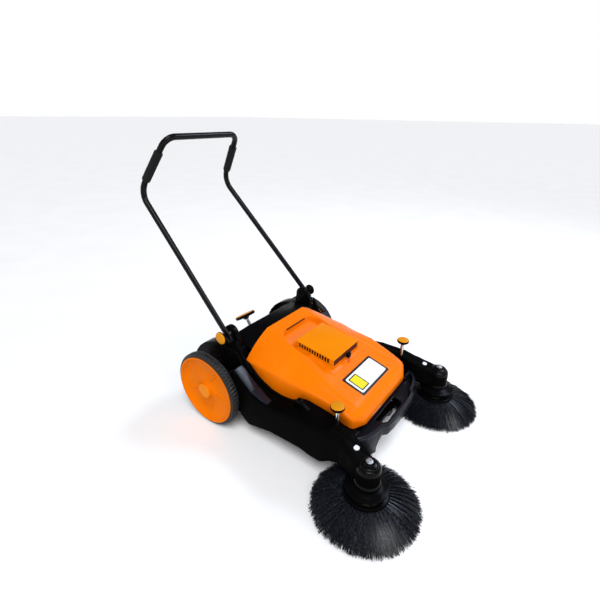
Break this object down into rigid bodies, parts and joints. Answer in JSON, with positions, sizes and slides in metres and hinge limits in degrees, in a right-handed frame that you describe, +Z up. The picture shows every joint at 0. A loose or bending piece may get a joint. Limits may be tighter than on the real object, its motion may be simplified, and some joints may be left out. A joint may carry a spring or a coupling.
{
  "type": "walk-behind sweeper",
  "caption": "Manual push sweeper with disc brushes on side arms, a roller brush between the wheels, a lift-out dirt hopper with filter lid and a folding tubular handle.",
  "frame": {"origin": "on the floor, at the centre of the bounding box's base", "axes": "+X to the operator's left, +Y backwards to the operator, +Z up"},
  "size_m": [0.916, 1.2068, 0.9919],
  "materials": {
    "orange_plastic": "satin",
    "lid_plastic": "satin",
    "black_plastic": "satin",
    "rubber": "matte",
    "tyre": "matte",
    "foam": "matte",
    "bristle": "satin",
    "handle_paint": "gloss",
    "steel": "satin",
    "chrome": "polished",
    "filter_fleece": "matte"
  },
  "bodies": {
    "chassis": {"chassis_frame": "black_plastic", "front_bumper": "black_plastic", "rear_cover": "black_plastic", "shoulder_left": "black_plastic", "shoulder_right": "black_plastic", "axle_bush_left": "steel", "axle_bush_right": "steel"},
    "wheel_left": {"tyre_left": "tyre", "rim_left": "orange_plastic", "hub_cap_left": "orange_plastic", "wheel_axle_left": "steel", "side_drive_pulley_left": "black_plastic", "roller_drive_pulley": "black_plastic"},
    "wheel_right": {"tyre_right": "tyre", "rim_right": "orange_plastic", "hub_cap_right": "orange_plastic", "wheel_axle_right": "steel", "side_drive_pulley_right": "black_plastic"},
    "brush_carriage": {"brush_carriage": "black_plastic", "roller_belt": "rubber"},
    "main_roller": {"roller_core": "black_plastic", "roller_bristles": "bristle"},
    "rear_knob": {"rear_height_knob": "orange_plastic", "rear_height_stud": "chrome"},
    "handle": {"handle_tube": "handle_paint", "grip_left": "foam", "grip_right": "foam"},
    "hopper": {"hopper_cover": "orange_plastic", "hopper_bin": "black_plastic", "filter_cassette": "filter_fleece"},
    "filter_lid": {"filter_lid": "lid_plastic"},
    "lid_latch": {"lid_latch": "black_plastic"},
    "arm_left": {"arm_outer_shell_left": "black_plastic", "arm_inner_shell_left": "black_plastic", "side_belt_left": "rubber", "head_bolt_left": "steel", "dust_flange_left": "black_plastic"},
    "head_pulley_left": {"head_pulley_left": "black_plastic"},
    "side_brush_left": {"brush_shaft_left": "steel", "brush_hub_left": "black_plastic", "brush_bristles_left": "bristle"},
    "side_knob_left": {"height_knob_left": "orange_plastic", "height_stud_left": "chrome"},
    "clamp_knob_left": {"clamp_knob_left": "orange_plastic"},
    "caster_fork_left": {"caster_fork_left": "steel"},
    "caster_wheel_left": {"caster_wheel_left": "rubber"},
    "arm_right": {"arm_outer_shell_right": "black_plastic", "arm_inner_shell_right": "black_plastic", "side_belt_right": "rubber", "head_bolt_right": "steel", "dust_flange_right": "black_plastic"},
    "head_pulley_right": {"head_pulley_right": "black_plastic"},
    "side_brush_right": {"brush_shaft_right": "steel", "brush_hub_right": "black_plastic", "brush_bristles_right": "bristle"},
    "side_knob_right": {"height_knob_right": "orange_plastic", "height_stud_right": "chrome"},
    "clamp_knob_right": {"clamp_knob_right": "orange_plastic"},
    "caster_fork_right": {"caster_fork_right": "steel"},
    "caster_wheel_right": {"caster_wheel_right": "rubber"}
  },
  "joints": [
    {"name": "wheel_spin_left", "type": "hinge", "parent": "chassis", "child": "wheel_left", "pos_m": [0, 0.2076, 0.144], "axis": [1, 0, 0], "continuous": true},
    {"name": "arm_lift_left", "type": "hinge", "parent": "chassis", "child": "arm_left", "pos_m": [0, 0.2076, 0.144], "axis": [-1, 0, 0], "range_deg": [0, 2]},
    {"name": "head_pulley_spin_left", "type": "hinge", "parent": "arm_left", "child": "head_pulley_left", "pos_m": [0, -0.4354, 0.136], "axis": [1, 0, 0], "continuous": true},
    {"name": "side_brush_spin_left", "type": "hinge", "parent": "arm_left", "child": "side_brush_left", "pos_m": [0.29, -0.4354, 0.06], "axis": [0, 0, 1], "continuous": true},
    {"name": "side_knob_turn_left", "type": "hinge", "parent": "chassis", "child": "side_knob_left", "pos_m": [0.242, -0.2954, 0.2], "axis": [0, 0, 1], "range_deg": [0, 720]},
    {"name": "clamp_knob_turn_left", "type": "hinge", "parent": "chassis", "child": "clamp_knob_left", "pos_m": [0, 0.1686, 0.349], "axis": [1, 0, 0], "range_deg": [0, 720]},
    {"name": "caster_swivel_left", "type": "hinge", "parent": "chassis", "child": "caster_fork_left", "pos_m": [0.114, -0.3244, 0.06], "axis": [0, 0, 1], "continuous": true},
    {"name": "caster_roll_left", "type": "hinge", "parent": "caster_fork_left", "child": "caster_wheel_left", "pos_m": [0.114, -0.3124, 0.024], "axis": [1, 0, 0], "continuous": true},
    {"name": "wheel_spin_right", "type": "hinge", "parent": "chassis", "child": "wheel_right", "pos_m": [0, 0.2076, 0.144], "axis": [1, 0, 0], "continuous": true},
    {"name": "arm_lift_right", "type": "hinge", "parent": "chassis", "child": "arm_right", "pos_m": [0, 0.2076, 0.144], "axis": [-1, 0, 0], "range_deg": [0, 2]},
    {"name": "head_pulley_spin_right", "type": "hinge", "parent": "arm_right", "child": "head_pulley_right", "pos_m": [0, -0.4354, 0.136], "axis": [1, 0, 0], "continuous": true},
    {"name": "side_brush_spin_right", "type": "hinge", "parent": "arm_right", "child": "side_brush_right", "pos_m": [-0.29, -0.4354, 0.06], "axis": [0, 0, 1], "continuous": true},
    {"name": "side_knob_turn_right", "type": "hinge", "parent": "chassis", "child": "side_knob_right", "pos_m": [-0.242, -0.2954, 0.2], "axis": [0, 0, 1], "range_deg": [0, 720]},
    {"name": "clamp_knob_turn_right", "type": "hinge", "parent": "chassis", "child": "clamp_knob_right", "pos_m": [0, 0.1686, 0.349], "axis": [1, 0, 0], "range_deg": [0, 720]},
    {"name": "caster_swivel_right", "type": "hinge", "parent": "chassis", "child": "caster_fork_right", "pos_m": [-0.114, -0.3244, 0.06], "axis": [0, 0, 1], "continuous": true},
    {"name": "caster_roll_right", "type": "hinge", "parent": "caster_fork_right", "child": "caster_wheel_right", "pos_m": [-0.114, -0.3124, 0.024], "axis": [1, 0, 0], "continuous": true},
    {"name": "roller_height", "type": "slide", "parent": "chassis", "child": "brush_carriage", "axis": [0, 0.5388, 0.8425], "range_m": [0, 0.008], "deforming": ["roller_belt"]},
    {"name": "rear_knob_turn", "type": "hinge", "parent": "chassis", "child": "rear_knob", "pos_m": [0, 0.3116, 0.283], "axis": [0, 0.5388, 0.8425], "range_deg": [0, 360]},
    {"name": "main_roller_spin", "type": "hinge", "parent": "brush_carriage", "child": "main_roller", "pos_m": [0, 0.2376, 0.097], "axis": [1, 0, 0], "continuous": true},
    {"name": "handle_fold", "type": "hinge", "parent": "chassis", "child": "handle", "pos_m": [0, 0.1686, 0.349], "axis": [1, 0, 0], "range_deg": [0, 130]},
    {"name": "hopper_lift", "type": "slide", "parent": "chassis", "child": "hopper", "axis": [0, 0, 1], "range_m": [0, 0.25]},
    {"name": "filter_lid_open", "type": "hinge", "parent": "hopper", "child": "filter_lid", "pos_m": [0, -0.0204, 0.321], "axis": [-1, 0, 0], "range_deg": [0, 100]},
    {"name": "lid_latch_release", "type": "hinge", "parent": "hopper", "child": "lid_latch", "pos_m": [0, -0.1964, 0.258], "axis": [1, 0, 0], "range_deg": [0, 60]}
  ],
  "couplings": [
    {"joint": "head_pulley_spin_left", "follows": "wheel_spin_left", "ratio": 2},
    {"joint": "side_brush_spin_left", "follows": "wheel_spin_left", "ratio": -1.5},
    {"joint": "side_knob_turn_left", "follows": "arm_lift_left", "ratio": 360},
    {"joint": "head_pulley_spin_right", "follows": "wheel_spin_right", "ratio": 2},
    {"joint": "side_brush_spin_right", "follows": "wheel_spin_right", "ratio": 1.5},
    {"joint": "side_knob_turn_right", "follows": "arm_lift_right", "ratio": 360},
    {"joint": "rear_knob_turn", "follows": "roller_height", "rad_per_m": 785},
    {"joint": "main_roller_spin", "follows": "wheel_spin_left", "ratio": 2}
  ]
}
